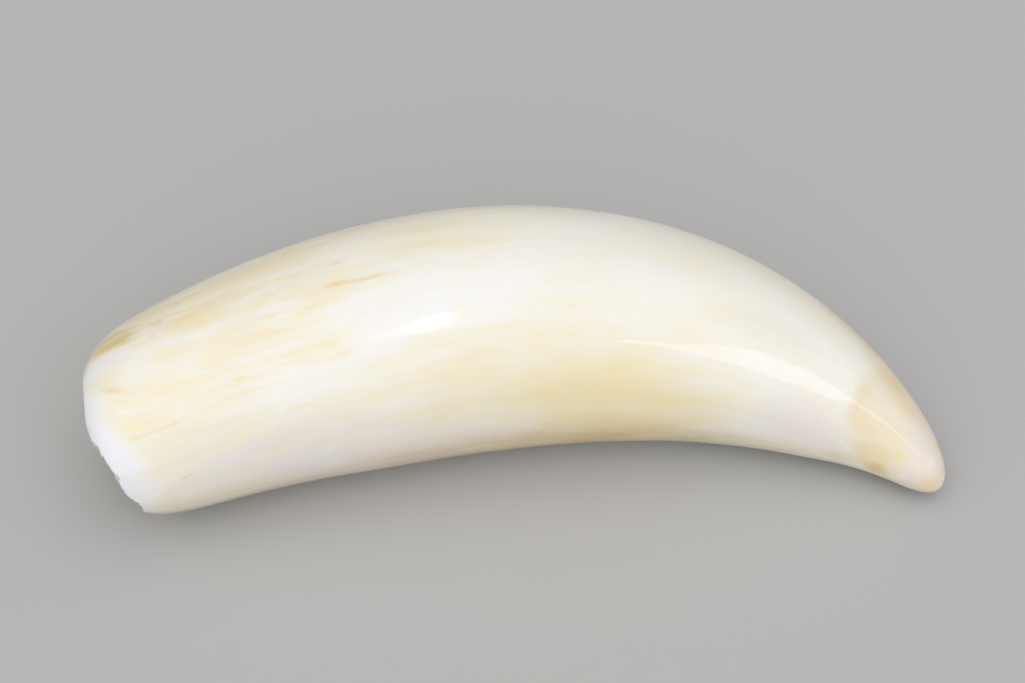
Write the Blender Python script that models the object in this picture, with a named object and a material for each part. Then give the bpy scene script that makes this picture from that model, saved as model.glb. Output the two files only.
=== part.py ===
"""A polished sperm whale tooth lying on its side: one grown piece, hollow at the root.

Metres, +Z up. The tooth lies along X with its tip at +X, and the outside of its bend faces +Y.
The origin is at the surface it lies on, under the middle of its box.

The outside is a bent oval cone. Its sections stand square to a centreline that bends more and
more towards the tip. An angle round a section is 0 at the outside of the bend and 90 degrees at
the side that ends up on top.
"""

from math import radians

import bmesh
import bpy
import numpy as np
from mathutils import Matrix

# Centreline: its length, and its bend (1 / radius) at the root, half way and at the tip
LENGTH = 0.1937
BEND_STATIONS = np.array([0.0, 0.5, 1.0])
BENDS = np.array([4.2, 7.2, 11.1])

# Half widths of the outside, at fractions of the length from the root, and how far the sections
# there lie to the outside of the bend from the centreline
STATIONS = np.array([0.0, 0.12, 0.3, 0.5, 0.7, 0.85, 0.94, 1.0])
HALF_WIDTHS = np.array([0.0227, 0.0240, 0.0269, 0.0268, 0.0219, 0.0144, 0.0085, 0.0070])
SHIFTS = np.array([0.0, 0.0005, -0.0006, -0.0004, 0.0001, 0.0001, 0.0003, -0.0004])
FLATNESS_AT_ROOT = 0.80
FLATNESS_AT_TIP = 0.86

# Rounded ends: the blunt tip, and the shoulder where the root draws in to its rim, which is
# longer on the inside of the bend
TIP_LENGTH = 0.0168
SHOULDER_LENGTH = 0.0268
SHOULDER_LEAN = -0.52
SHOULDER_DRAW = 0.386

# Rim: how far its plane leans, and the chips broken out of it as (angle, half width, depth)
RIM_OUT = 0.0006
RIM_LEAN_SIDE = 0.0020
RIM_LEAN_TOP = -0.0042
CHIPS = (
    (38, 34, 0.0018),
    (118, 26, 0.0012),
    (158, 18, 0.0017),
    (205, 18, 0.0014),
    (252, 20, 0.0009),
    (303, 18, 0.0016),
    (345, 16, 0.0008),
)
END_FADE = 0.048

# Pulp cavity: a cone that opens at the rim
CAVITY_DEPTH = 0.045
WALL_AT_RIM = 0.003
CAVITY_TAPER = 1.3

# How it lies, in degrees, and how deep the spots it rests on are worn flat
YAW = 33.7
ROLL = 23.0
PITCH = 3.6
WORN_FLAT = 0.00015

# Mesh: steps that the centreline is summed in, points round a section, and rows along each
# stretch from the tip to the cavity's end
CENTRELINE_STEPS = 1000
AROUND = 60
TIP_ROWS = 9
BODY_ROWS = 30
SHOULDER_ROWS = 9
RIM_ROWS = 4
CAVITY_ROWS = 18

NAME = "polished_sperm_whale_tooth"


def clear_scene():
    for item in list(bpy.data.objects):
        bpy.data.objects.remove(item)


def smooth_curve(stations, values, at):
    """Cubic curve through a few values."""
    k = np.clip(np.searchsorted(stations, at, side="right") - 1, 0, len(stations) - 2)
    slope = np.gradient(values, stations)
    gap = stations[k + 1] - stations[k]
    f = (at - stations[k]) / gap
    start = (1 + 2 * f) * (1 - f) ** 2 * values[k] + f * (1 - f) ** 2 * gap * slope[k]
    end = f**2 * (3 - 2 * f) * values[k + 1] + f**2 * (f - 1) * gap * slope[k + 1]
    return start + end


def centreline(s):
    """Place (x, y) and heading of the centreline at a distance s from the root."""
    fine = np.linspace(0, LENGTH, CENTRELINE_STEPS + 1)
    step = np.diff(fine)
    bend = smooth_curve(BEND_STATIONS, BENDS, fine / LENGTH)
    heading = -np.append(0, np.cumsum((bend[1:] + bend[:-1]) / 2 * step))
    x = np.append(0, np.cumsum((np.cos(heading[1:]) + np.cos(heading[:-1])) / 2 * step))
    y = np.append(0, np.cumsum((np.sin(heading[1:]) + np.sin(heading[:-1])) / 2 * step))
    return np.interp(s, fine, x), np.interp(s, fine, y), np.interp(s, fine, heading)


def round_end(part):
    """Height of a quarter circle at a fraction of its run."""
    part = np.clip(part, 0, 1)
    return np.sqrt(1 - (1 - part) ** 2)


def half_width(s, angle):
    """Half width of the outside, with the blunt tip and the root's shoulder."""
    width = smooth_curve(STATIONS, HALF_WIDTHS, s / LENGTH)
    tip = round_end((LENGTH - s) / TIP_LENGTH)
    shoulder_length = SHOULDER_LENGTH * (1 + SHOULDER_LEAN * np.cos(angle))
    shoulder = 1 - SHOULDER_DRAW * (1 - round_end(s / shoulder_length))
    return width * tip * shoulder


def flatness(s):
    return FLATNESS_AT_ROOT + (FLATNESS_AT_TIP - FLATNESS_AT_ROOT) * s / LENGTH


def chip_depth(angle):
    """How much shorter the rim is at an angle, for its chips."""
    depth = np.zeros_like(angle)
    for middle, half, deep in CHIPS:
        away = (np.degrees(angle) - middle + 180) % 360 - 180
        depth += deep * np.clip(1 - (away / half) ** 2, 0, 1)
    return depth


def rim_lean(angle):
    return RIM_LEAN_SIDE * np.cos(angle) + RIM_LEAN_TOP * np.sin(angle) - RIM_OUT


def place(s, angle, width, thickness, slide):
    """Points of a section at s, moved by slide along the tooth."""
    x, y, heading = centreline(s)
    along_x, along_y = np.cos(heading), np.sin(heading)
    side = width * np.cos(angle) + smooth_curve(STATIONS, SHIFTS, s / LENGTH)
    x = x - along_y * side + along_x * slide
    y = y + along_x * side + along_y * slide
    return np.stack([x, y, thickness * np.sin(angle)], axis=-1)


def outside(s, angle):
    """Points of the outside. Near the root they lean with the rim and start past its chips."""
    fade = np.clip(1 - s / END_FADE, 0, 1) ** 2
    s = s + chip_depth(angle) * fade
    width = half_width(s, angle)
    return place(s, angle, width, width * flatness(s), rim_lean(angle) * fade)


def cavity(s, angle):
    """Points of the pulp cavity's wall, at a depth s from the rim."""
    part = s / CAVITY_DEPTH
    fade = (1 - part) ** 2
    s = s + chip_depth(angle) * fade
    rim_width = HALF_WIDTHS[0] * (1 - SHOULDER_DRAW)
    cone = 1 - part**CAVITY_TAPER
    width = (rim_width - WALL_AT_RIM) * cone
    thickness = (rim_width * FLATNESS_AT_ROOT - WALL_AT_RIM) * cone
    return place(s, angle, width, thickness, rim_lean(angle) * fade)


def outside_stations():
    """Distances of the outside's rows from the root, tip first, closer at the rounded ends."""
    tip = LENGTH - TIP_LENGTH * (1 - np.cos(np.linspace(0, np.pi / 2, TIP_ROWS + 1)))
    body = np.linspace(LENGTH - TIP_LENGTH, SHOULDER_LENGTH, BODY_ROWS + 1)[1:]
    shoulder = SHOULDER_LENGTH * (1 - np.sin(np.linspace(0, np.pi / 2, SHOULDER_ROWS + 1)[1:]))
    return np.concatenate([tip, body, shoulder])


def tooth_rows():
    """Rows of points from the tip, down the outside, over the rim and into the cavity."""
    angle = np.linspace(0, 2 * np.pi, AROUND, endpoint=False)[None, :]
    skin = outside(outside_stations()[:, None], angle)
    hollow = cavity(np.linspace(0, CAVITY_DEPTH, CAVITY_ROWS + 1)[:, None], angle)
    part = np.linspace(0, 1, RIM_ROWS + 1)[1:-1, None, None]
    rim = skin[-1] * (1 - part) + hollow[0] * part
    return np.concatenate([skin, rim, hollow])


def lay_down(points):
    """Turns the tooth to the way it lies, wears flat what touches, and centres it."""
    turn = Matrix.Rotation(radians(PITCH), 3, "Y") @ Matrix.Rotation(radians(ROLL), 3, "X")
    turn = turn @ Matrix.Rotation(radians(YAW), 3, "Z")
    points = points @ np.array(turn).T
    points[..., 2] -= points[..., 2].min() + WORN_FLAT
    points[..., 2] = np.maximum(points[..., 2], 0)
    low = points.reshape(-1, 3).min(axis=0)
    high = points.reshape(-1, 3).max(axis=0)
    points[..., :2] -= (low[:2] + high[:2]) / 2
    return points


def ivory():
    material = bpy.data.materials.new("polished_ivory")
    material.use_nodes = True
    shader = material.node_tree.nodes["Principled BSDF"]
    shader.inputs["Base Color"].default_value = (0.84, 0.76, 0.60, 1)
    shader.inputs["Roughness"].default_value = 0.1
    shader.inputs["Metallic"].default_value = 0.0
    return material


def build_tooth(collection):
    """A UV sphere whose rows are moved to the tooth's rows."""
    rows = lay_down(tooth_rows())
    last = len(rows) - 1
    mesh = bpy.data.meshes.new("tooth")
    shape = bmesh.new()
    bmesh.ops.create_uvsphere(shape, u_segments=AROUND, v_segments=last, radius=1)
    shape.verts.ensure_lookup_table()
    ball = np.array([vertex.co[:] for vertex in shape.verts])
    row = np.rint(np.arccos(np.clip(ball[:, 2], -1, 1)) / np.pi * last).astype(int)
    column = np.rint(np.arctan2(ball[:, 1], ball[:, 0]) / (2 * np.pi) * AROUND).astype(int) % AROUND
    for vertex, point in zip(shape.verts, rows[row, column]):
        vertex.co = point
    shape.to_mesh(mesh)
    shape.free()
    mesh.shade_smooth()
    mesh.materials.append(ivory())
    tooth = bpy.data.objects.new("tooth", mesh)
    collection.objects.link(tooth)
    return tooth


def main():
    clear_scene()
    collection = bpy.data.collections.new(NAME)
    bpy.context.scene.collection.children.link(collection)
    build_tooth(collection)


main()
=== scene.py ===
"""A polished sperm whale tooth on a pale floor, lying on its side.

Metres, +Z up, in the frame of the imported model: the tip is at +X and the outside of the bend
faces +Y. The tooth is one closed surface: its polished outside, the broken rim of the root, and
the wall of the pulp cavity.
"""

from math import cos, pi, radians, sin, tan

import bpy
import numpy as np
from mathutils import Matrix, Vector


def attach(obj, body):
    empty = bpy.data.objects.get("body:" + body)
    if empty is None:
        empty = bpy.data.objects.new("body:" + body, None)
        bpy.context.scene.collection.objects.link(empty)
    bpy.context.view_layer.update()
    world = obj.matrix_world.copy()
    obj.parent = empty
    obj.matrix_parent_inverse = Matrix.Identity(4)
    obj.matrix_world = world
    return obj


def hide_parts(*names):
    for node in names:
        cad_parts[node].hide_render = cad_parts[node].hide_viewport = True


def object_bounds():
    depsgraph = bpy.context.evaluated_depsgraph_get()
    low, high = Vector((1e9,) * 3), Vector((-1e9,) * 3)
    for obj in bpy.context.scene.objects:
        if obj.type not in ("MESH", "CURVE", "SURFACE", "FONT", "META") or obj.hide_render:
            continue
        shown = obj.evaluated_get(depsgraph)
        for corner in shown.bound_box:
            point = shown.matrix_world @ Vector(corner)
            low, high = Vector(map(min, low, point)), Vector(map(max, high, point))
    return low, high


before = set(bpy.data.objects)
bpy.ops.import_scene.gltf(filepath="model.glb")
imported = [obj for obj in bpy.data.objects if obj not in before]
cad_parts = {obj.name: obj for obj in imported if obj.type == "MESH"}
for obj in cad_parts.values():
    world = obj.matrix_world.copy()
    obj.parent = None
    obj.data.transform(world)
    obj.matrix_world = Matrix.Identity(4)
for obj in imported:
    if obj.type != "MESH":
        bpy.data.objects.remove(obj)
CAD_LOW, CAD_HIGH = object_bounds()

# Camera: the point that it looks at, its height above the horizon in degrees, its distance from
# that point, its view across in degrees, how near it sees, and its sensor in millimetres
CAMERA_AIM = Vector((-0.0014, 0.0233, 0.0))
CAMERA_ELEVATION = 50
CAMERA_DISTANCE = 0.480
CAMERA_VIEW = 28
CAMERA_NEAR = 0.01
SENSOR = 36

# Lights: the point that they face, how far away they are, and each light's name, bearing to the
# right of the camera's, height above the horizon, size, brightness, turn and colour: a strip lamp
# above the camera, and a window to the right of it with a low side pane
LIGHT_AIM = Vector((0.03, 0, 0.02))
LIGHT_DISTANCE = 1.6
LIGHTS = (
    ("lamp", 7.4, 69.8, (0.05, 0.28), 14, -8, (0.9, 0.93, 1)),
    ("window", 39.1, 42.9, (0.569, 0.306), 2.0, 14, (0.68, 0.69, 1)),
    ("side_pane", 50.8, 37.2, (0.144, 0.15), 1.6, -5, (0.75, 0.72, 1)),
)

# Light from the room: where it is brightest, its brightness there above the lowest, the lowest,
# and the cosine away from the brightest at which the glow starts
ROOM_BRIGHTEST = (-0.05, -0.435, 0.90)
ROOM_GLOW = 1.08
ROOM_LOWEST = 0.33
ROOM_GLOW_FROM = 0.15

# Floor: half its side, its colour and its roughness
FLOOR_REACH = 4
FLOOR_COLOUR = (0.47, 0.465, 0.455, 1)
FLOOR_ROUGHNESS = 0.75

# Centreline of the tooth: its length, and its bend (1 / radius) at the root, half way along and at
# the tip
LENGTH = 0.1937
BEND_STATIONS = np.array([0.0, 0.5, 1.0])
BENDS = np.array([4.2, 7.2, 11.1])

# Half widths of the outside, at fractions of the length from the root, and how far the sections
# there lie to the outside of the bend from the centreline
STATIONS = np.array([0.0, 0.12, 0.3, 0.5, 0.7, 0.85, 0.94, 1.0])
HALF_WIDTHS = np.array([0.0227, 0.0240, 0.0269, 0.0268, 0.0219, 0.0144, 0.0085, 0.0070])
SHIFTS = np.array([0.0, 0.0005, -0.0006, -0.0004, 0.0001, 0.0001, 0.0003, -0.0004])
FLATNESS_AT_ROOT = 0.80
FLATNESS_AT_TIP = 0.86

# Polish: how far either side the width is averaged, the most of that as a share of the way to the
# nearer end, how many places are averaged, and how much less the furthest count; then the height
# of the waves left by hand, each as (radians per metre along, crests round, phase)
POLISH_REACH = 0.006
POLISH_END_SHARE = 0.3
POLISH_PLACES = 9
POLISH_FALL = 0.9
POLISH_WAVE = 0.00002
POLISH_WAVES = ((210, 2, 0), (330, -3, 1), (90, 5, 0))

# Rounded ends: the blunt tip, and the shoulder where the root draws in, which is longer on the
# inside of the bend
TIP_LENGTH = 0.0168
SHOULDER_LENGTH = 0.0268
SHOULDER_LEAN = -0.52
SHOULDER_DRAW = 0.386

# Rim: how far out it lies, the lean of its plane, its hollow, its chips as (angle, half width,
# depth) with the angles and half widths in degrees, and how far along the outside these fade
RIM_OUT = 0.0006
RIM_LEAN_SIDE = 0.0020
RIM_LEAN_TOP = -0.0042
RIM_HOLLOW = 0.0004
CHIPS = (
    (38, 34, 0.0018),
    (118, 26, 0.0012),
    (158, 18, 0.0017),
    (205, 18, 0.0014),
    (252, 20, 0.0009),
    (303, 18, 0.0016),
    (345, 16, 0.0008),
    (93, 7, 0.0005),
    (121.5, 4.5, 0.0005),
    (142, 9, 0.0003),
    (172, 8, 0.0002),
    (221, 6, 0.0005),
    (287, 8, 0.0004),
)
END_FADE = 0.048

# The break: the depth of its small bites, how far along they fade, their waves as (crests round
# the rim, seed), and their share on the inside; then from which angle to which the rim is freshly
# broken, over how many degrees that starts and ends, and how rough the worn rest is
JAG_DEPTH = 0.00022
JAG_FADE = 0.005
JAG_WAVES = (range(17, 96, 6), 4)
JAGS_INSIDE = 0.5
BROKEN_FROM = 84
BROKEN_TO = 330
BROKEN_STARTS_OVER = 14
BROKEN_ENDS_OVER = 20
WORN_ROUGHNESS = 0.15

# Layers of the wall that broke at different lengths: how many, how far one stands out, how much
# and with which waves their edges wander, where in a layer its step starts, and the middle height
LAYERS_IN_WALL = 5
LAYER_STEP = 0.00035
LAYER_WANDER = 0.45
LAYER_WAVES = (range(2, 15), 7)
STEP_FROM = 0.72
STEP_MIDDLE = 0.6

# Roughness of the broken layers: its height as a share of a step, its waves round the rim and how
# far they drift across it, its crests across and the waves that shift those, and how evenly it all
# fades at the two edges
LAYER_ROUGHNESS = 0.3
ROUGH_WAVES = (range(11, 70, 5), 9)
ROUGH_DRIFT = 0.2
ROUGH_CRESTS = 3
ROUGH_SHIFTS = (range(3, 20), 12)
EDGE_POWER = 0.6

# Pulp cavity: its depth, the wall at the rim, and the power of its taper
CAVITY_DEPTH = 0.045
WALL_AT_RIM = 0.003
CAVITY_TAPER = 1.3

# Growth rings in the cavity: how many, how much closer they are at the rim, their sway as (radians,
# crests round), the fine ones to each and their share, their height, and how soon they reach it;
# then the folds as (height in rings, crests round, phase, power of the depth)
GROWTH_RINGS = 13
RING_POWER = 0.9
RING_SWAY = ((0.7, 1), (0.4, 3))
FINE_RINGS = 2.7
FINE_SHARE = 0.5
RING_HEIGHT = 0.00011
RINGS_START_OVER = 12
FOLDS = ((2.0, 3, 0.5, 1), (0.8, 7, 0, 0))

# How it lies, in degrees, and how deep the spots it rests on are worn flat
YAW = 33.7
ROLL = 23.0
PITCH = 3.6
WORN_FLAT = 0.00015

# Mesh: steps that the centreline is summed in, points round a section, rows along each stretch,
# how much closer the cavity's rows are at the rim, and the angle from which an edge is sharp
CENTRELINE_STEPS = 4000
AROUND = 384
TIP_ROWS = 36
BODY_ROWS = 84
SHOULDER_ROWS = 44
RIM_ROWS = 26
CAVITY_ROWS = 44
CAVITY_ROW_POWER = 1.15
SHARP_FROM = 38

# Radius of the straight rod that the growth pattern is worked out on, the share of it at the
# cavity, and how far the grain swings round it near the root: the most, the angle where that is,
# how wide, and how far along
GRAIN_RADIUS = 0.024
INNER_SHARE = 0.6
SWING = 45
SWING_MIDDLE = 45
SWING_SPREAD = 100
SWING_REACH = 0.012

# Millimetres in a metre, for the tables of stains
MILLIMETRES = 1000


def smooth_curve(stations, values, at):
    """Cubic curve through a few values, with the slope at each from its neighbours."""
    left = np.clip(np.searchsorted(stations, at, side="right") - 1, 0, len(stations) - 2)
    right = left + 1
    slope = np.gradient(values, stations)
    gap = stations[right] - stations[left]
    part = (at - stations[left]) / gap
    start = (1 + 2 * part) * (1 - part) ** 2 * values[left]
    start = start + part * (1 - part) ** 2 * gap * slope[left]
    end = part**2 * (3 - 2 * part) * values[right]
    end = end + part**2 * (part - 1) * gap * slope[right]
    return start + end


def centreline(s):
    """Place and heading of the centreline: the heading is the bend summed along the length, and
    the place is the heading summed along it."""
    fine = np.linspace(0, LENGTH, CENTRELINE_STEPS + 1)
    step = np.diff(fine)
    bend = smooth_curve(BEND_STATIONS, BENDS, fine / LENGTH)
    heading = -np.append(0, np.cumsum((bend[1:] + bend[:-1]) / 2 * step))
    x = np.append(0, np.cumsum((np.cos(heading[1:]) + np.cos(heading[:-1])) / 2 * step))
    y = np.append(0, np.cumsum((np.sin(heading[1:]) + np.sin(heading[:-1])) / 2 * step))
    return np.interp(s, fine, x), np.interp(s, fine, y), np.interp(s, fine, heading)


def round_end(part):
    """Height of a quarter circle at a fraction of its run."""
    part = np.clip(part, 0, 1)
    return np.sqrt(1 - (1 - part) ** 2)


def smooth_step(part):
    """0 to 1, level at both ends: 3 p squared less 2 p cubed."""
    part = np.clip(part, 0, 1)
    return part**2 * (3 - 2 * part)


def drawn_width(s, angle):
    """Half width: the curve through the stations, times the round tip, times the shoulder."""
    width = smooth_curve(STATIONS, HALF_WIDTHS, s / LENGTH)
    tip = round_end((LENGTH - s) / TIP_LENGTH)
    shoulder_length = SHOULDER_LENGTH * (1 + SHOULDER_LEAN * np.cos(angle))
    shoulder = 1 - SHOULDER_DRAW * (1 - round_end(s / shoulder_length))
    return width * tip * shoulder


def half_width(s, angle):
    """The drawn width, averaged over a stretch either side that shrinks to nothing at both ends,
    so that reflections run smoothly, plus the long low waves of polishing by hand."""
    reach = np.minimum(POLISH_REACH, POLISH_END_SHARE * np.minimum(s, LENGTH - s))
    offsets = np.linspace(-1, 1, POLISH_PLACES)
    weights = 1 - POLISH_FALL * offsets**2
    width = 0
    for offset, weight in zip(offsets, weights / weights.sum()):
        width = width + weight * drawn_width(s + offset * reach, angle)
    waves = sum(np.cos(along * s + crests * angle + phase) for along, crests, phase in POLISH_WAVES)
    return width + POLISH_WAVE * waves * reach / POLISH_REACH


def flatness(s):
    """Thickness as a share of the width: even from the root to the tip."""
    return FLATNESS_AT_ROOT + (FLATNESS_AT_TIP - FLATNESS_AT_ROOT) * s / LENGTH


def chip_depth(angle):
    """How much shorter the rim is at an angle: each chip is a shallow parabola."""
    depth = np.zeros_like(angle)
    for middle, half, deep in CHIPS:
        away = (np.degrees(angle) - middle + 180) % 360 - 180
        depth += deep * np.clip(1 - (away / half) ** 2, 0, 1)
    return depth


def broken(angle):
    """1 where the rim is freshly broken, and a little where it is worn round."""
    degrees = np.degrees(angle)
    started = smooth_step((degrees - BROKEN_FROM) / BROKEN_STARTS_OVER)
    inside = started * smooth_step((BROKEN_TO - degrees) / BROKEN_ENDS_OVER)
    return WORN_ROUGHNESS + (1 - WORN_ROUGHNESS) * inside


def crumble(angle, waves, seed):
    """Sum of waves round the rim with whole numbers of crests, the finer the lower, divided by
    the mean height that such a sum has."""
    luck = np.random.default_rng(seed)
    total = np.zeros_like(angle)
    for crests in waves:
        total = total + np.cos(crests * angle + luck.uniform(0, 2 * pi)) / crests**0.5
    return total / np.sqrt(sum(0.5 / crests for crests in waves))


def jags(angle):
    """Small bites out of the rim, never out of line with it on the outer side."""
    return JAG_DEPTH * np.abs(crumble(angle, *JAG_WAVES)) * broken(angle)


def rim_lean(angle):
    """How far the rim's plane lies along the tooth at an angle."""
    return RIM_LEAN_SIDE * np.cos(angle) + RIM_LEAN_TOP * np.sin(angle) - RIM_OUT


def place(s, angle, width, thickness, slide):
    """Points of a section at s, moved by slide along the tooth."""
    x, y, heading = centreline(s)
    along_x, along_y = np.cos(heading), np.sin(heading)
    side = width * np.cos(angle) + smooth_curve(STATIONS, SHIFTS, s / LENGTH)
    x = x - along_y * side + along_x * slide
    y = y + along_x * side + along_y * slide
    return np.stack([x, y, thickness * np.sin(angle)], axis=-1)


def outside(s, angle):
    """Points of the outside. Near the root they lean with the rim and start past its chips."""
    fade = np.clip(1 - s / END_FADE, 0, 1) ** 2
    at = s + chip_depth(angle) * fade + jags(angle) * np.clip(1 - s / JAG_FADE, 0, 1) ** 2
    width = half_width(at, angle)
    return at, place(at, angle, width, width * flatness(at), rim_lean(angle) * fade)


def cavity(s, angle):
    """Points of the cavity's wall at a depth s: a cone with growth rings and a few long folds."""
    part = s / CAVITY_DEPTH
    fade = (1 - part) ** 2
    sway = sum(swing * np.sin(crests * angle) for swing, crests in RING_SWAY)
    rings = np.sin(2 * pi * GROWTH_RINGS * part**RING_POWER + sway)
    fine = np.sin(2 * pi * FINE_RINGS * GROWTH_RINGS * part + np.sin(2 * angle))
    rings = rings + FINE_SHARE * fine
    folds = 0
    for height, crests, phase, power in FOLDS:
        folds = folds + height * np.cos(crests * angle + phase) * part**power
    relief = RING_HEIGHT * (rings + folds) * smooth_step(RINGS_START_OVER * part) * (1 - part)
    rim_width = HALF_WIDTHS[0] * (1 - SHOULDER_DRAW)
    cone = 1 - part**CAVITY_TAPER
    width = (rim_width - WALL_AT_RIM) * cone + relief
    thickness = (rim_width * FLATNESS_AT_ROOT - WALL_AT_RIM) * cone + relief
    at = s + (chip_depth(angle) + jags(angle) * JAGS_INSIDE) * fade
    return place(at, angle, width, thickness, rim_lean(angle) * fade)


def outside_stations():
    """Distances of the outside's rows from the root, tip first, closer at the rounded ends."""
    tip = LENGTH - TIP_LENGTH * (1 - np.cos(np.linspace(0, pi / 2, TIP_ROWS + 1)))
    body = np.linspace(LENGTH - TIP_LENGTH, SHOULDER_LENGTH, BODY_ROWS + 1)[1:]
    shoulder = SHOULDER_LENGTH * (1 - np.sin(np.linspace(0, pi / 2, SHOULDER_ROWS + 1)[1:]))
    return np.concatenate([tip, body, shoulder])


def break_relief(part, angle):
    """Height of the rim between its outer edge (part 0) and the cavity (part 1): a low hollow
    where it is broken, with steps where the layers of the tooth broke at different lengths."""
    fresh = broken(angle)
    hollow = -RIM_HOLLOW * fresh * np.sin(pi * part)
    layer = part * LAYERS_IN_WALL + LAYER_WANDER * crumble(angle, *LAYER_WAVES)
    steps = layer - np.floor(layer)
    steps = steps - smooth_step((steps - STEP_FROM) / (1 - STEP_FROM))
    rough = LAYER_ROUGHNESS * crumble(angle + ROUGH_DRIFT * part, *ROUGH_WAVES)
    rough = rough * np.sin(ROUGH_CRESTS * pi * part + crumble(angle, *ROUGH_SHIFTS))
    height = LAYER_STEP * (steps - STEP_MIDDLE + rough)
    return hollow + height * fresh * np.sin(pi * part) ** EDGE_POWER


def grown_place(along, angle, radius):
    """The same point on a straight rod: this is where the growth pattern is looked up. Near the
    root its angle is swung, so that the grain there runs towards the upper corner of the rim."""
    away = (np.degrees(angle) - SWING_MIDDLE + 180) % 360 - 180
    share = np.cos(np.clip(away / SWING_SPREAD, -1, 1) * pi / 2) ** 2
    angle = angle + radians(SWING) * share * np.exp(-np.abs(along) / SWING_REACH)
    along, angle, radius = np.broadcast_arrays(along, angle, radius)
    return np.stack([along, radius * np.cos(angle), radius * np.sin(angle)], axis=-1)


def tooth_rows():
    """Rows of points from the tip down the outside, over the rim and into the cavity, and where
    each point is in the growth pattern."""
    angle = np.linspace(0, 2 * pi, AROUND, endpoint=False)[None, :]
    at, skin = outside(outside_stations()[:, None], angle)
    depth = np.linspace(0, 1, CAVITY_ROWS + 1)[:, None] ** CAVITY_ROW_POWER * CAVITY_DEPTH
    hollow = cavity(depth, angle)
    part = np.linspace(0, 1, RIM_ROWS + 1)[1:-1, None]
    rim = skin[-1] * (1 - part[..., None]) + hollow[0] * part[..., None]
    rim[..., 0] -= break_relief(part, angle)
    inner_radius = INNER_SHARE * GRAIN_RADIUS
    growth = [
        grown_place(at, angle, GRAIN_RADIUS * round_end((LENGTH - at) / TIP_LENGTH)),
        grown_place(0 * part, angle, GRAIN_RADIUS + (inner_radius - GRAIN_RADIUS) * part),
        grown_place(-depth, angle, inner_radius * (1 - (depth / CAVITY_DEPTH) ** CAVITY_TAPER)),
    ]
    return np.concatenate([skin, rim, hollow]), np.concatenate(growth)


def lay_down(points):
    """Turns the tooth to the way it lies, wears flat what touches, and puts it where the
    packed tooth is."""
    turn = Matrix.Rotation(radians(PITCH), 3, "Y") @ Matrix.Rotation(radians(ROLL), 3, "X")
    turn = turn @ Matrix.Rotation(radians(YAW), 3, "Z")
    points = points @ np.array(turn).T
    points[..., 2] = np.maximum(points[..., 2] - points[..., 2].min() - WORN_FLAT, 0)
    low, high = points.min(axis=(0, 1)), points.max(axis=(0, 1))
    middle = (CAD_LOW + CAD_HIGH) / 2
    points[..., :2] += np.array(middle)[:2] - (low[:2] + high[:2]) / 2
    return points


def closed_grid(name, rows, attribute_name, attribute):
    """A mesh from rows that run round, whose first and last rows are each one point."""
    count, around = rows.shape[:2]
    inner = rows[1:-1].reshape(-1, 3)
    points = np.concatenate([rows[:1, 0], inner, rows[-1:, 0]])
    here = np.arange(around)
    after = (here + 1) % around
    base = 1 + np.arange(count - 3)[:, None] * around
    below = base + around
    quads = np.stack([base + here, below + here, below + after, base + after], axis=-1)
    last = 1 + (count - 3) * around
    first_fan = np.stack([0 * here, 1 + here, 1 + after], axis=-1)
    last_fan = np.stack([last + here, 0 * here + len(points) - 1, last + after], axis=-1)
    faces = first_fan.tolist() + quads.reshape(-1, 4).tolist() + last_fan.tolist()
    mesh = bpy.data.meshes.new(name)
    mesh.from_pydata(points.tolist(), [], faces)
    values = np.concatenate([attribute[:1].mean(axis=1), attribute[1:-1].reshape(-1, 3)])
    values = np.concatenate([values, attribute[-1:].mean(axis=1)])
    layer = mesh.attributes.new(attribute_name, "FLOAT_VECTOR", "POINT")
    layer.data.foreach_set("vector", values.astype(np.float32).ravel())
    return mesh


def make_tooth(materials):
    """The closed surface, with its own finish on the outside, the rim and the cavity."""
    rows, growth = tooth_rows()
    mesh = closed_grid("ivory_tooth", lay_down(rows), "growth", growth)
    outside_rows = TIP_ROWS + BODY_ROWS + SHOULDER_ROWS
    finish = np.repeat([0, 1, 2], [outside_rows * AROUND, RIM_ROWS * AROUND, CAVITY_ROWS * AROUND])
    for material in materials:
        mesh.materials.append(material)
    mesh.polygons.foreach_set("material_index", finish)
    mesh.shade_smooth()
    mesh.set_sharp_from_angle(angle=radians(SHARP_FROM))
    mesh.update()
    tooth = bpy.data.objects.new("ivory_tooth", mesh)
    bpy.context.scene.collection.objects.link(tooth)
    return tooth


# Colours of the ivory
CREAM = (0.865, 0.815, 0.68, 1)
PALE = (0.865, 0.85, 0.785, 1)
# Painted light: a lighter cream that brightens a stretch of the upper side
PAINTED_LIGHT_CREAM = (0.93, 0.89, 0.76, 1)
# Painted shade: a greyer ivory that darkens a stretch of the near side towards the tip
PAINTED_SHADE_IVORY = (0.79, 0.775, 0.715, 1)
WHITE = (0.875, 0.865, 0.84, 1)
COLD_WHITE = (0.87, 0.86, 0.87, 1)
BLUE_WHITE = (0.83, 0.84, 0.90, 1)
TAN = (0.84, 0.765, 0.62, 1)
HONEY = (0.845, 0.765, 0.53, 1)
STRAW = (0.865, 0.785, 0.55, 1)
GOLD = (0.86, 0.745, 0.455, 1)
YELLOW = (0.82, 0.74, 0.43, 1)
OCHRE = (0.78, 0.66, 0.41, 1)
# An ochre of the ivory, also used for painted shade along the lower edge and on the far edge near
# the tip
BROWN_OCHRE = (0.70, 0.54, 0.28, 1)
ORANGE = (0.84, 0.67, 0.42, 1)
AMBER = (0.80, 0.67, 0.435, 1)
DARK_AMBER = (0.74, 0.60, 0.32, 1)
LILAC = (0.81, 0.74, 0.68, 1)
ROSE = (0.85, 0.745, 0.68, 1)
# Painted shade: a brown laid along the lower edge, standing in for the dark shade and reflection
# there
PAINTED_SHADE_BROWN = (0.72, 0.59, 0.50, 1)
GREY_IVORY = (0.82, 0.768, 0.738, 1)
DENTINE = (0.80, 0.72, 0.56, 1)
OLD_DENTINE = (0.58, 0.45, 0.27, 1)
SHALLOW_BROWN = (0.42, 0.29, 0.15, 1)
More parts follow.
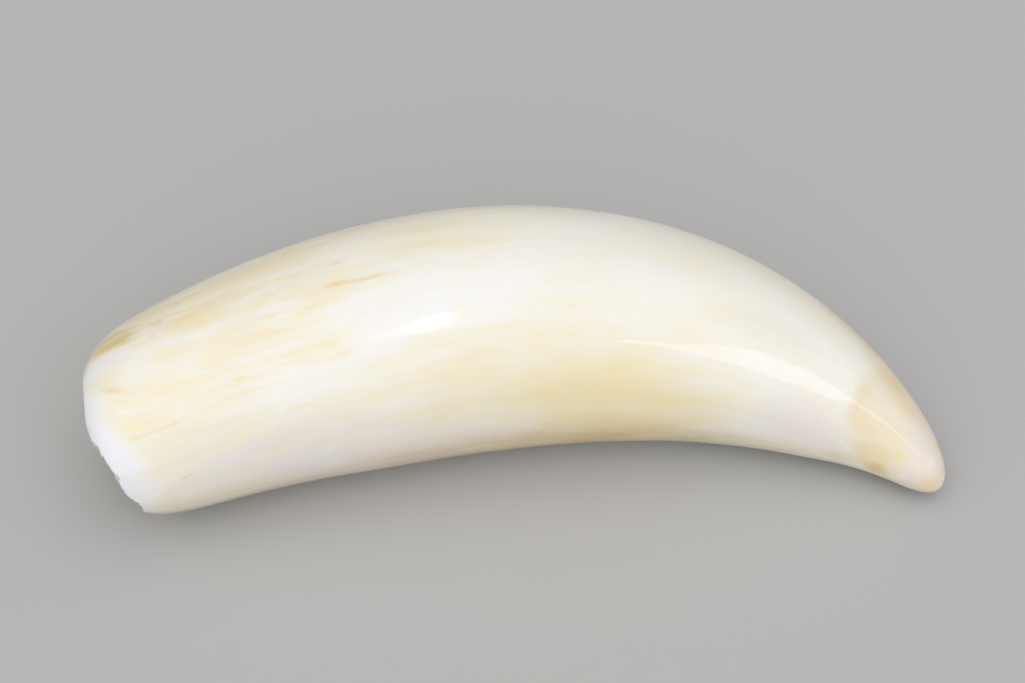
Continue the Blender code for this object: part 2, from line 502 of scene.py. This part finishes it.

# Stains and painted patches: (distance from the root and angle of the middle, half length, half
# width, how far out the full colour goes, raggedness, strength, colour), in millimetres and
# degrees. Most are the ivory's own stains and veins; the marked ones are painted shade, painted
# light and painted sheen.
# On the outside the streaks lie over STAINS and under VEINS, and END_STAINS come last.
STAINS = (
    (30, 72, 24, 10, 0.0, 0.6, 0.50, HONEY),
    (12, 84, 7, 5, 0.0, 0.5, 0.50, HONEY),
    (34, 95, 15, 3.5, 0.0, 0.6, 0.55, HONEY),
    (26, 42, 30, 11, 0.0, 0.5, 0.80, OCHRE),
    (27, 64, 9, 4, 0.1, 0.5, 0.80, GOLD),
    # Painted shade: brown along the whole lower edge
    (62, 179, 100, 13.5, 0.0, 0.1, 0.90, PAINTED_SHADE_BROWN),
    (58, 36, 26, 9, 0.0, 0.5, 0.50, OCHRE),
    (9.5, 36, 7, 7, 0.3, 0.1, 0.90, BROWN_OCHRE),
    (4, 46, 4.2, 4.8, 0.2, 0.3, 0.85, COLD_WHITE),
    (12, 100, 8, 1.8, 0.2, 0.4, 0.80, WHITE),
    (16, 119, 15, 6, 0.3, 0.3, 0.65, TAN),
    (42, 112, 20, 6, 0.1, 0.5, 0.85, PALE),
    (36, 148, 40, 11, 0.2, 0.4, 0.80, GREY_IVORY),
    (28, 136, 9, 3, 0.2, 0.4, 0.60, GREY_IVORY),
    (1, 127, 7, 19, 0.4, 0.25, 1.0, COLD_WHITE),
    (1.5, 118, 3, 8, 0.2, 0.2, 0.70, BLUE_WHITE),
    # Painted shade: brown at the lower edge near the root
    (4, 166, 9, 7, 0.0, 0.2, 0.50, PAINTED_SHADE_BROWN),
    (70, 124, 22, 6, 0.0, 0.5, 0.50, HONEY),
    # Partly the ivory's white, partly a painted sheen: white over the broad soft glow round the
    # lamp's spot
    (66, 86, 24, 9, 0.3, 0.4, 0.85, WHITE),
    # Partly the ivory's white, partly a painted sheen over the broad soft glow
    (84, 88, 12, 6, 0.1, 0.4, 0.60, WHITE),
    (112, 62, 52, 18, 0.2, 0.3, 0.65, PALE),
    (82, 142, 26, 10, 0.0, 0.4, 0.60, HONEY),
    (104, 127, 36, 10.5, 0.1, 0.35, 0.85, HONEY),
    (113, 146, 33, 15, 0.3, 0.25, 1.0, GOLD),
    # Painted shade: ochre-brown along the lower edge of the middle
    (108, 178, 68, 11.5, 0.0, 0.15, 1.0, BROWN_OCHRE),
    (134, 84, 6, 4, 0.0, 0.5, 0.35, HONEY),
    (83.5, 83, 2.5, 1.6, 0.2, 0.3, 0.40, TAN),
    (160, 136, 15, 13, 0.3, 0.3, 0.90, GREY_IVORY),
    # Painted light: lighter cream brightening a long stretch of the upper side
    (75, 50, 42, 8, 0.2, 0.3, 0.65, PAINTED_LIGHT_CREAM),
    # Painted shade: greyer ivory darkening a stretch of the near side towards the tip
    (145, 86, 17, 7, 0.2, 0.3, 0.60, PAINTED_SHADE_IVORY),
    (70, 205, 30, 10, 0.2, 0.5, 0.60, HONEY),
    (25, 235, 24, 9, 0.2, 0.5, 0.50, OCHRE),
    (120, 262, 28, 11, 0.2, 0.4, 0.50, HONEY),
    (50, 300, 26, 9, 0.2, 0.5, 0.45, OCHRE),
    (100, 335, 24, 9, 0.2, 0.4, 0.45, PALE),
    (145, 225, 18, 9, 0.2, 0.4, 0.50, GREY_IVORY),
    (155, 310, 18, 10, 0.2, 0.4, 0.50, HONEY),
    (8, 340, 8, 7, 0.2, 0.5, 0.60, OCHRE),
)
VEINS = (
    (43, 112, 17, 5, 0.2, 0.5, 0.60, WHITE),
    # Partly the ivory's white, partly a painted sheen over the broad soft glow round the lamp's
    # spot
    (77, 84, 26, 8.5, 0.2, 0.5, 0.75, WHITE),
    # Partly the ivory's white, partly a painted sheen over the lamp's spot
    (66, 96, 24, 5.5, 0.2, 0.5, 0.70, WHITE),
    (92, 75, 14, 6, 0.1, 0.4, 0.50, WHITE),
    (107, 115, 8, 4, 0.0, 0.4, 0.40, PALE),
    (105, 46, 14, 5, 0.1, 0.4, 0.45, WHITE),
    (4, 46, 3, 4.4, 0.2, 0.2, 0.80, COLD_WHITE),
    (9.5, 35, 6, 5.5, 0.2, 0.1, 0.45, BROWN_OCHRE),
    (8, 50, 8, 2.6, 0.2, 0.3, 0.60, COLD_WHITE),
    (13, 74, 6, 4, 0.1, 0.4, 0.50, WHITE),
    (14, 65, 4.6, 3, 0.1, 0.4, 0.60, WHITE),
    (24, 60, 6, 4, 0.1, 0.4, 0.55, GOLD),
    (15, 82, 6, 4, 0.1, 0.5, 0.40, STRAW),
    (6.8, 70, 2.2, 0.8, 0.0, 0.3, 0.75, ORANGE),
    (7.6, 80, 2.4, 0.5, 0.0, 0.4, 0.60, GOLD),
    (7.2, 103, 2.2, 0.6, 0.1, 0.3, 0.80, YELLOW),
    (9, 104.2, 2.0, 0.45, 0.0, 0.3, 0.50, ORANGE),
    (10.8, 105.2, 2.4, 0.5, 0.0, 0.3, 0.60, ORANGE),
    (12.8, 106, 2.0, 0.45, 0.0, 0.3, 0.50, ORANGE),
    (14.8, 106.8, 2.2, 0.5, 0.0, 0.3, 0.65, ORANGE),
    (12, 139.5, 1.4, 0.5, 0.1, 0.3, 0.65, ORANGE),
    (53.8, 69.6, 3.8, 0.8, 0.1, 0.3, 1.0, ORANGE),
    (60, 71, 8, 0.7, 0.0, 0.4, 0.80, ORANGE),
    (18.8, 48, 1.7, 1.1, 0.1, 0.3, 0.45, BROWN_OCHRE),
    (17.4, 56, 1.4, 0.9, 0.0, 0.3, 0.30, BROWN_OCHRE),
    (54.5, 57.5, 2.6, 0.7, 0.0, 0.4, 0.60, OCHRE),
    (22.5, 91, 3.0, 0.45, 0.0, 0.4, 0.60, GOLD),
    (29, 99.5, 2.0, 0.6, 0.0, 0.4, 0.80, GOLD),
    (40.5, 97, 4.0, 0.7, 0.0, 0.5, 0.70, GOLD),
    (35, 81, 7, 0.45, 0.0, 0.5, 0.60, GOLD),
    (31, 76, 5, 0.45, 0.0, 0.5, 0.60, GOLD),
    (43, 69, 3, 0.6, 0.0, 0.5, 0.60, GOLD),
    (47, 78.5, 4, 0.8, 0.0, 0.5, 0.50, HONEY),
    (39, 122.5, 5, 0.45, 0.0, 0.4, 0.60, GOLD),
    (84, 62, 7, 0.6, 0.0, 0.5, 0.45, STRAW),
    (93, 66, 9, 0.5, 0.0, 0.5, 0.45, STRAW),
    (101, 96, 3, 0.7, 0.0, 0.5, 0.60, STRAW),
    (22, 222, 5, 0.6, 0.1, 0.5, 0.60, ORANGE),
    (46, 268, 6, 0.6, 0.1, 0.5, 0.60, ORANGE),
    (12, 312, 4, 0.6, 0.1, 0.5, 0.60, ORANGE),
    (74, 320, 6, 0.6, 0.1, 0.5, 0.50, OCHRE),
)
CAVITY_STAINS = (
    (-10, 60, 8, 6, 0.2, 0.6, 0.50, OLD_DENTINE),
    (-6, 200, 7, 7, 0.2, 0.6, 0.50, OLD_DENTINE),
    (-4, 300, 5, 5, 0.2, 0.6, 0.40, PALE),
)
END_STAINS = (
    (3, 106, 4, 13, 0.0, 0.2, 0.60, BLUE_WHITE),
    # Painted shade: brown along the lower edge
    (63, 173, 16, 5, 0.0, 0.2, 0.70, PAINTED_SHADE_BROWN),
    # Painted shade: ochre-brown along the lower edge towards the tip
    (111, 177, 16, 5, 0.0, 0.2, 0.75, BROWN_OCHRE),
    (187, 40, 5, 6, 0.0, 0.2, 0.50, ORANGE),
    # Painted shade: ochre-brown darkening the far edge near the tip, standing in for a dark
    # reflection there
    (188, 30, 6, 5, 0.0, 0.2, 0.50, BROWN_OCHRE),
    (178, 58, 6, 5, 0.0, 0.2, 0.35, AMBER),
    (176, 42, 15, 8, 0.0, 0.2, 0.50, ORANGE),
    (174, 70, 6, 4, 0.0, 0.2, 0.40, GOLD),
    (177, 112, 4, 5, 0.0, 0.2, 0.40, GOLD),
    (177, 154, 4.5, 6, 0.0, 0.2, 0.70, AMBER),
    (188, 154, 2.6, 5, 0.0, 0.2, 0.40, AMBER),
    (166, 32, 15, 6, 0.0, 0.3, 0.70, ORANGE),
    (172, 44, 3.6, 8, 0.1, 0.2, 0.90, AMBER),
    (170, 52, 9, 7, 0.0, 0.2, 0.55, AMBER),
    (171, 161, 5, 5, 0.0, 0.2, 0.60, AMBER),
    (176, 60, 3, 4, 0.0, 0.2, 0.50, GOLD),
    (170.5, 112, 2.2, 5, 0.0, 0.2, 0.60, GOLD),
    (173, 80, 2.0, 5, 0.0, 0.2, 0.50, ROSE),
    (178.5, 74, 1.6, 4, 0.0, 0.2, 0.40, ROSE),
    (178, 144, 3.4, 9, 0.1, 0.2, 0.90, GOLD),
    (182, 117.5, 1.6, 4.6, 0.2, 0.1, 1.0, YELLOW),
    (180.4, 162, 3.2, 8, 0.2, 0.1, 0.90, DARK_AMBER),
    (188.2, 80, 0.9, 8, 0.0, 0.1, 0.40, COLD_WHITE),
    (187.2, 122, 1.2, 14, 0.0, 0.1, 0.60, ROSE),
    (186.2, 150, 1.0, 8, 0.0, 0.1, 0.35, COLD_WHITE),
    (191.6, 126, 3.0, 12, 0.3, 0.2, 0.80, AMBER),
    (191.2, 56, 2.0, 5, 0.2, 0.2, 0.40, AMBER),
    (192, 300, 3, 8, 0.2, 0.2, 0.60, HONEY),
    (178, 250, 6, 8, 0.1, 0.2, 0.50, HONEY),
)

# Edge of a stain or painted patch: how many of its lengths out it ends, and the scales of its
# raggedness along and across the growth, its detail and how far it reaches
PATCH_EDGE = 1.1
RAGGED_SCALES = (75, 290, 290)
RAGGED_DETAIL = 2.0
RAGGED_REACH = 3.0

# Noise: its middle value, and how uneven and how distorted the growth patterns are
NOISE_MIDDLE = 0.5
GRAIN_ROUGHNESS = 0.5
GRAIN_DISTORTION = 0.3

# The ivory: its refraction, and the light that goes into it and comes out again near by, as (share,
# reach of red, green and blue, scale)
IVORY_IOR = 1.54
POLISHED_GLOW = (0.4, (1.0, 0.6, 0.35), 0.004)
BROKEN_GLOW = (0.35, (1.0, 0.5, 0.25), 0.003)

# Patterns along the growth: (scale along, scale across, detail, low and high cut), with the scales
# in waves per metre
CLOUDS = (30, 85, 3, 0.36, 0.64)
PATCHES = (80, 170, 2, 0.3, 0.65)
BAND_MOTTLE = (140, 90, 1, 0.3, 0.7)
GLOSS = (40, 420, 2, 0.35, 0.75)
BREAK_UNEVEN = (300, 300, 4, 0.3, 0.7)
DIRT = (900, 900, 4, 0.58, 0.75)
BREAK_GRIT = (3500, 3500, 4, 0.2, 0.8)
CAVITY_UNEVEN = (120, 240, 4, 0.3, 0.7)
CAVITY_GRIT = (1500, 2600, 4, 0.2, 0.8)

# Where the outside changes, each as the places where the change starts and ends, in metres from the
# root or across: streaks towards the root, the least share of them between patches, and on the
# upper side, with their share below; the worn edge; and the dull root
STREAKED_ROOT = (0.120, 0.04)
BETWEEN_PATCHES = 0.5
UPPER_SIDE = (-0.012, -0.004)
STREAKS_BELOW = 0.35
WORN_EDGE = (0.0055, 0.0005)
WORN_EDGE_STRENGTH = 0.85
DULL_ROOT = (0.115, 0.06)

# Roughness of the polish, how much the dull root adds, and how much both change along the grain
POLISHED_ROUGHNESS = 0.012
DULL_ROUGHNESS = 0.10
POLISHED_CHANGE = 0.006
DULL_CHANGE = 0.02

# The amber band and the pale tip past it: their edges, how those lean and wander, and how strong
BAND_EDGE = (0.1796, 0.1836)
BAND_LEAN_ACROSS = 0.06
BAND_LEAN_UP = 0.6
BAND_WANDER = 0.0012
BAND_LEAST = 0.36
BAND_MORE = 0.35
PALE_EDGE = (0.1795, 0.1855)
PALE_LEAN = 0.25
PALE_WANDER = 0.002
PALE_STRENGTH = 0.85

# The break: its rings as (radians per metre, how far a pattern pushes them, low cut), where its
# inner layers start and end, how strong these and the dirt are, its roughness, and its relief
BREAK_RINGS = (5200, 5, -0.6)
BREAK_RING_STRENGTH = 0.45
INNER_LAYERS = (0.021, 0.015)
INNER_STRENGTH = 0.5
DIRT_STRENGTH = 0.5
BREAK_ROUGHNESS = 0.5
BREAK_RELIEF = 0.0002

# The cavity: its rings in the same way, where its brown starts and ends, how that wanders and how
# strong it is, its roughness, and its relief; then what the break and the cavity share
CAVITY_RINGS = (2300, 3, -0.5)
CAVITY_RING_STRENGTH = 0.35
BROWN_DEPTH = (0.004, 0.04)
BROWN_WANDER = 0.006
BROWN_STRENGTH = 0.75
CAVITY_ROUGHNESS = 0.45
CAVITY_RELIEF = 0.00015
ROUGHNESS_CHANGE = 0.2
RELIEF_STRENGTH = 0.6

# Streaks along the growth: (scale along, scale across, detail, low and high cut, strength added
# near the root, strength everywhere, colour), with the scales in waves per metre
STREAKS = (
    (45, 150, 2, 0.40, 0.70, 0.62, 0.16, STRAW),
    (-55, 210, 2, 0.42, 0.70, 0.50, 0.14, WHITE),
    (60, 330, 2, 0.42, 0.72, 0.60, 0.14, STRAW),
    (-90, 520, 1.5, 0.46, 0.74, 0.55, 0.15, WHITE),
    (60, 700, 1, 0.48, 0.78, 0.60, 0.08, GOLD),
)


def add(tree, kind, **settings):
    """A node with its settings."""
    node = tree.nodes.new(kind)
    for name, value in settings.items():
        setattr(node, name, value)
    return node


def feed(tree, socket, value):
    """Links a socket into another, or sets it to a number, vector or colour."""
    if isinstance(value, bpy.types.NodeSocket):
        tree.links.new(value, socket)
    else:
        socket.default_value = value


def calculate(tree, operation, *values):
    """A sum on sockets or numbers."""
    node = add(tree, "ShaderNodeMath", operation=operation)
    for socket, value in zip(node.inputs, values):
        feed(tree, socket, value)
    return node.outputs[0]


def calculate_vector(tree, operation, *values):
    """A sum on vectors; a length or a dot product comes out as a number."""
    node = add(tree, "ShaderNodeVectorMath", operation=operation)
    for socket, value in zip(node.inputs, values):
        feed(tree, socket, value)
    return node.outputs["Value" if operation in ("LENGTH", "DOT_PRODUCT") else "Vector"]


def fade_between(tree, value, low, high):
    """0 at low and 1 at high, smooth in between; high may be the lower number."""
    node = add(tree, "ShaderNodeMapRange", interpolation_type="SMOOTHSTEP")
    feed(tree, node.inputs["Value"], value)
    feed(tree, node.inputs["From Min"], low)
    feed(tree, node.inputs["From Max"], high)
    return node.outputs["Result"]


def blend_colour(tree, amount, below, above):
    """The colour below with an amount of the one above laid over it."""
    node = add(tree, "ShaderNodeMix", data_type="RGBA")
    feed(tree, node.inputs["Factor"], amount)
    colours = [socket for socket in node.inputs if socket.type == "RGBA"]
    feed(tree, colours[0], below)
    feed(tree, colours[1], above)
    return [socket for socket in node.outputs if socket.type == "RGBA"][0]


def new_group(name, inputs, outputs):
    """A shader node group with named inputs and outputs; returns it with its two end nodes."""
    group = bpy.data.node_groups.new(name, "ShaderNodeTree")
    for label, kind in inputs:
        group.interface.new_socket(name=label, in_out="INPUT", socket_type="NodeSocket" + kind)
    for label, kind in outputs:
        group.interface.new_socket(name=label, in_out="OUTPUT", socket_type="NodeSocket" + kind)
    return group, add(group, "NodeGroupInput").outputs, add(group, "NodeGroupOutput").inputs


def use_group(tree, group, **values):
    """Places a group with its own values; returns its first output."""
    node = add(tree, "ShaderNodeGroup", node_tree=group)
    for label, value in values.items():
        feed(tree, node.inputs[label], value)
    return node.outputs[0]


def grain_group():
    """Streaks along the growth of the tooth: noise whose place is stretched along it, cut
    between two levels."""
    numbers = [(name, "Float") for name in ("Along", "Across", "Detail", "Low", "High")]
    group, given, result = new_group(
        "Growth streaks", [("Place", "Vector")] + numbers, [("Mask", "Float")]
    )
    stretch = add(group, "ShaderNodeCombineXYZ")
    feed(group, stretch.inputs["X"], given["Along"])
    feed(group, stretch.inputs["Y"], given["Across"])
    feed(group, stretch.inputs["Z"], given["Across"])
    stretched = calculate_vector(group, "MULTIPLY", given["Place"], stretch.outputs[0])
    noise = add(group, "ShaderNodeTexNoise")
    feed(group, noise.inputs["Vector"], stretched)
    feed(group, noise.inputs["Scale"], 1.0)
    feed(group, noise.inputs["Detail"], given["Detail"])
    feed(group, noise.inputs["Roughness"], GRAIN_ROUGHNESS)
    feed(group, noise.inputs["Distortion"], GRAIN_DISTORTION)
    mask = fade_between(group, noise.outputs[0], given["Low"], given["High"])
    feed(group, result["Mask"], mask)
    return group


def stain_and_painted_light_group():
    """A patch of colour, used both for stains and for painted shade and light: full from its middle
    out to its core, then fading to nothing, with an edge that is ragged along the growth. Its
    distance is measured in its own lengths."""
    vectors = [(name, "Vector") for name in ("Place", "Centre", "Reach")]
    numbers = [(name, "Float") for name in ("Core", "Ragged", "Strength")]
    group, given, result = new_group("Stain and painted light", vectors + numbers, [("Mask", "Float")])
    away = calculate_vector(group, "SUBTRACT", given["Place"], given["Centre"])
    away = calculate_vector(group, "DIVIDE", away, given["Reach"])
    away = calculate_vector(group, "LENGTH", away)
    stretched = calculate_vector(group, "MULTIPLY", given["Place"], RAGGED_SCALES)
    noise = add(group, "ShaderNodeTexNoise")
    feed(group, noise.inputs["Vector"], stretched)
    feed(group, noise.inputs["Scale"], 1.0)
    feed(group, noise.inputs["Detail"], RAGGED_DETAIL)
    uneven = calculate(group, "SUBTRACT", noise.outputs[0], NOISE_MIDDLE)
    uneven = calculate(group, "MULTIPLY", uneven, given["Ragged"])
    away = calculate(group, "MULTIPLY_ADD", uneven, RAGGED_REACH, away)
    mask = fade_between(group, away, PATCH_EDGE, given["Core"])
    feed(group, result["Mask"], calculate(group, "MULTIPLY", mask, given["Strength"]))
    return group


def on_rod(s, angle, radius=None):
    """A place in the growth pattern from millimetres and degrees."""
    if radius is None:
        radius = GRAIN_RADIUS * round_end((LENGTH - s / MILLIMETRES) / TIP_LENGTH)
    return tuple(grown_place(s / MILLIMETRES, radians(angle), radius).tolist())


def add_stains_and_painted_light(tree, stain_and_painted_light, place, colour, stains, radius=None):
    """Lays stains and patches of painted shade and light over a colour one after another; returns
    the colour.
    """
    for s, angle, length, width, core, ragged, strength, shade in stains:
        length, width = length / MILLIMETRES, width / MILLIMETRES
        mask = use_group(
            tree, stain_and_painted_light, Place=place, Centre=on_rod(s, angle, radius), Core=core, Ragged=ragged,
            Strength=strength, Reach=(length, width, width),
        )
        colour = blend_colour(tree, mask, colour, shade)
    return colour


def new_material(name):
    """A material with its tree, its shader and the place in the growth pattern."""
    material = bpy.data.materials.new(name)
    material.use_nodes = True
    tree = material.node_tree
    shader = tree.nodes["Principled BSDF"]
    shader.inputs["IOR"].default_value = IVORY_IOR
    place = add(tree, "ShaderNodeAttribute", attribute_name="growth").outputs["Vector"]
    return material, tree, shader, place


def split_place(tree, place):
    """The place along the rod and its two places across."""
    axes = add(tree, "ShaderNodeSeparateXYZ")
    feed(tree, axes.inputs[0], place)
    return axes.outputs


def pattern(tree, streaks, place, settings):
    """A pattern along the growth from (scale along, scale across, detail, low cut, high cut)."""
    labels = ("Along", "Across", "Detail", "Low", "High")
    return use_group(tree, streaks, Place=place, **dict(zip(labels, settings)))


def lay_over(tree, colour, mask, strength, shade):
    """A colour with another laid over it through a mask."""
    return blend_colour(tree, calculate(tree, "MULTIPLY", mask, strength), colour, shade)


def at_least(tree, mask, least):
    """A mask that runs from a least share to 1."""
    return calculate(tree, "MULTIPLY_ADD", mask, 1 - least, least)


def growth_rings(tree, value, uneven, settings):
    """Thin rings: the sine of a distance that a pattern pushes about, cut above a level."""
    radians_per_metre, push, low = settings
    push = calculate(tree, "MULTIPLY", uneven, push)
    wave = calculate(tree, "MULTIPLY_ADD", value, radians_per_metre, push)
    return fade_between(tree, calculate(tree, "SINE", wave), low, 1.0)


def let_light_in(shader, weight, radius, scale):
    """Light inside the ivory."""
    shader.inputs["Subsurface Weight"].default_value = weight
    shader.inputs["Subsurface Radius"].default_value = radius
    shader.inputs["Subsurface Scale"].default_value = scale


def roughen(tree, shader, height, distance):
    """A fine relief, as high as a mask times a distance."""
    bump = add(tree, "ShaderNodeBump")
    bump.inputs["Distance"].default_value = distance
    bump.inputs["Strength"].default_value = RELIEF_STRENGTH
    feed(tree, bump.inputs["Height"], height)
    feed(tree, shader.inputs["Normal"], bump.outputs[0])


def streaked_colour(tree, streaks, stain_and_painted_light, place):
    """Cream in paler clouds with stains and patches of painted shade and light, then streaks that
    are strongest near the root and on the upper side, then the small marks with part of a painted
    sheen, and the cold white of the worn edge."""
    along, across, _ = split_place(tree, place)
    colour = blend_colour(tree, pattern(tree, streaks, place, CLOUDS), CREAM, PALE)
    colour = add_stains_and_painted_light(tree, stain_and_painted_light, place, colour, STAINS)
    root = fade_between(tree, along, *STREAKED_ROOT)
    patches = at_least(tree, pattern(tree, streaks, place, PATCHES), BETWEEN_PATCHES)
    root = calculate(tree, "MULTIPLY", root, patches)
    upper = at_least(tree, fade_between(tree, across, *UPPER_SIDE), STREAKS_BELOW)
    root = calculate(tree, "MULTIPLY", root, upper)
    for *settings, at_root, elsewhere, shade in STREAKS:
        strength = calculate(tree, "MULTIPLY_ADD", root, at_root, elsewhere)
        mask = pattern(tree, streaks, place, settings)
        colour = lay_over(tree, colour, mask, strength, shade)
    colour = add_stains_and_painted_light(tree, stain_and_painted_light, place, colour, VEINS)
    worn_edge = fade_between(tree, along, *WORN_EDGE)
    return lay_over(tree, colour, worn_edge, WORN_EDGE_STRENGTH, COLD_WHITE)


def tip_colour(tree, streaks, stain_and_painted_light, place, colour):
    """Past an edge that leans and wanders the tip is amber, and past a second edge it is pale; then
    the end stains and the painted shade of the edges are laid over.
    """
    along, across, height = split_place(tree, place)
    mottle = pattern(tree, streaks, place, BAND_MOTTLE)
    lean = calculate(tree, "MULTIPLY_ADD", across, BAND_LEAN_ACROSS, along)
    lean = calculate(tree, "MULTIPLY_ADD", height, BAND_LEAN_UP, lean)
    edge = calculate(tree, "MULTIPLY_ADD", mottle, BAND_WANDER, lean)
    strength = calculate(tree, "MULTIPLY_ADD", mottle, BAND_MORE, BAND_LEAST)
    colour = lay_over(tree, colour, fade_between(tree, edge, *BAND_EDGE), strength, AMBER)
    edge = calculate(tree, "MULTIPLY_ADD", mottle, PALE_WANDER, along)
    edge = calculate(tree, "MULTIPLY_ADD", across, PALE_LEAN, edge)
    pale = fade_between(tree, edge, *PALE_EDGE)
    colour = lay_over(tree, colour, pale, PALE_STRENGTH, LILAC)
    return add_stains_and_painted_light(tree, stain_and_painted_light, place, colour, END_STAINS)


def polished_ivory(streaks, stain_and_painted_light):
    """The outside: streaked and stained, with painted shade along its edges and painted light and
    sheen in places, an amber band and a pale tip, and a high polish that is duller towards the
    root."""
    material, tree, shader, place = new_material("polished_ivory")
    colour = streaked_colour(tree, streaks, stain_and_painted_light, place)
    colour = tip_colour(tree, streaks, stain_and_painted_light, place, colour)
    feed(tree, shader.inputs["Base Color"], colour)

    dull = fade_between(tree, split_place(tree, place)[0], *DULL_ROOT)
    roughness = calculate(tree, "MULTIPLY_ADD", dull, DULL_ROUGHNESS, POLISHED_ROUGHNESS)
    change = calculate(tree, "MULTIPLY_ADD", dull, DULL_CHANGE, POLISHED_CHANGE)
    change = calculate(tree, "MULTIPLY", pattern(tree, streaks, place, GLOSS), change)
    feed(tree, shader.inputs["Roughness"], calculate(tree, "ADD", roughness, change))
    let_light_in(shader, *POLISHED_GLOW)
    return material


def broken_ivory(streaks):
    """The rim: chalky white breaks across the layers of the tooth, which show as thin rings round
    the middle, yellower towards the cavity, with a little dirt."""
    material, tree, shader, place = new_material("broken_ivory")
    _, across, height = split_place(tree, place)
    flat = add(tree, "ShaderNodeCombineXYZ")
    feed(tree, flat.inputs["Y"], across)
    feed(tree, flat.inputs["Z"], height)
    radius = calculate_vector(tree, "LENGTH", flat.outputs[0])
    uneven = pattern(tree, streaks, place, BREAK_UNEVEN)
    rings = growth_rings(tree, radius, uneven, BREAK_RINGS)
    colour = lay_over(tree, WHITE, rings, BREAK_RING_STRENGTH, DENTINE)
    inner = fade_between(tree, radius, *INNER_LAYERS)
    colour = lay_over(tree, colour, inner, INNER_STRENGTH, HONEY)
    dirt = pattern(tree, streaks, place, DIRT)
    colour = lay_over(tree, colour, dirt, DIRT_STRENGTH, OLD_DENTINE)
    feed(tree, shader.inputs["Base Color"], colour)
    roughness = calculate(tree, "MULTIPLY_ADD", uneven, ROUGHNESS_CHANGE, BREAK_ROUGHNESS)
    feed(tree, shader.inputs["Roughness"], roughness)
    roughen(tree, shader, pattern(tree, streaks, place, BREAK_GRIT), BREAK_RELIEF)
    let_light_in(shader, *BROKEN_GLOW)
    return material


def cavity_dentine(streaks, stain_and_painted_light):
    """The cavity: dull dentine in growth rings, browner with depth."""
    material, tree, shader, place = new_material("cavity_dentine")
    depth = calculate(tree, "MULTIPLY", split_place(tree, place)[0], -1)
    uneven = pattern(tree, streaks, place, CAVITY_UNEVEN)
    rings = growth_rings(tree, depth, uneven, CAVITY_RINGS)
    colour = lay_over(tree, DENTINE, rings, CAVITY_RING_STRENGTH, OLD_DENTINE)
    deep = calculate(tree, "MULTIPLY_ADD", uneven, BROWN_WANDER, depth)
    deep = fade_between(tree, deep, *BROWN_DEPTH)
    colour = lay_over(tree, colour, deep, BROWN_STRENGTH, SHALLOW_BROWN)
    radius = INNER_SHARE * GRAIN_RADIUS
    colour = add_stains_and_painted_light(tree, stain_and_painted_light, place, colour, CAVITY_STAINS, radius)
    feed(tree, shader.inputs["Base Color"], colour)
    roughness = calculate(tree, "MULTIPLY_ADD", uneven, ROUGHNESS_CHANGE, CAVITY_ROUGHNESS)
    feed(tree, shader.inputs["Roughness"], roughness)
    roughen(tree, shader, pattern(tree, streaks, place, CAVITY_GRIT), CAVITY_RELIEF)
    return material


def make_camera():
    """Looks down along +Y at the middle of the tooth."""
    data = bpy.data.cameras.new("camera")
    data.sensor_fit = "HORIZONTAL"
    data.sensor_width = SENSOR
    data.lens = SENSOR / 2 / tan(radians(CAMERA_VIEW / 2))
    data.clip_start = CAMERA_NEAR
    camera = bpy.data.objects.new("camera", data)
    up = radians(CAMERA_ELEVATION)
    camera.location = CAMERA_AIM + CAMERA_DISTANCE * Vector((0, -cos(up), sin(up)))
    camera.rotation_euler = (pi / 2 - up, 0, 0)
    bpy.context.scene.collection.objects.link(camera)
    bpy.context.scene.camera = camera


def make_light(name, bearing, rise, size, brightness, turn, colour):
    """A rectangular light of an even brightness that faces the tooth."""
    data = bpy.data.lights.new(name, "AREA")
    data.shape = "RECTANGLE"
    data.size, data.size_y = size
    data.energy = brightness * pi * size[0] * size[1]
    data.color = colour
    light = bpy.data.objects.new(name, data)
    bearing, rise = radians(bearing), radians(rise)
    toward = Vector((sin(bearing) * cos(rise), -cos(bearing) * cos(rise), sin(rise)))
    light.location = LIGHT_AIM + LIGHT_DISTANCE * toward
    facing = toward.to_track_quat("Z", "Y").to_matrix()
    light.rotation_euler = (facing @ Matrix.Rotation(radians(turn), 3, "Z")).to_euler()
    bpy.context.scene.collection.objects.link(light)


def make_room():
    """Soft light from all round, brightest above the camera and fading evenly away from there."""
    world = bpy.data.worlds.new("room")
    world.use_nodes = True
    tree = world.node_tree
    toward = add(tree, "ShaderNodeTexCoord").outputs["Generated"]
    near = calculate_vector(tree, "DOT_PRODUCT", toward, Vector(ROOM_BRIGHTEST).normalized())
    feed(tree, tree.nodes["Background"].inputs["Color"], (1, 1, 1, 1))
    near = fade_between(tree, near, ROOM_GLOW_FROM, 1.0)
    glow = calculate(tree, "MULTIPLY_ADD", near, ROOM_GLOW, ROOM_LOWEST)
    feed(tree, tree.nodes["Background"].inputs["Strength"], glow)
    bpy.context.scene.world = world


def make_floor():
    """A plain pale floor, level with the underside of the tooth."""
    mesh = bpy.data.meshes.new("floor")
    corners = [(-1, -1), (1, -1), (1, 1), (-1, 1)]
    corners = [(FLOOR_REACH * x, FLOOR_REACH * y, 0) for x, y in corners]
    mesh.from_pydata(corners, [], [(0, 1, 2, 3)])
    floor = bpy.data.objects.new("floor", mesh)
    bpy.context.scene.collection.objects.link(floor)
    material = bpy.data.materials.new("pale_floor")
    material.use_nodes = True
    shader = material.node_tree.nodes["Principled BSDF"]
    shader.inputs["Base Color"].default_value = FLOOR_COLOUR
    shader.inputs["Roughness"].default_value = FLOOR_ROUGHNESS
    mesh.materials.append(material)


def main():
    """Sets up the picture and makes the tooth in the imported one's place."""
    bpy.context.scene.view_settings.view_transform = "Standard"
    make_camera()
    for light in LIGHTS:
        make_light(*light)
    make_room()
    make_floor()
    streaks = grain_group()
    stain_and_painted_light = stain_and_painted_light_group()
    polished = polished_ivory(streaks, stain_and_painted_light)
    tooth = make_tooth((polished, broken_ivory(streaks), cavity_dentine(streaks, stain_and_painted_light)))
    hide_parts("tooth")
    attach(tooth, "root")


main()
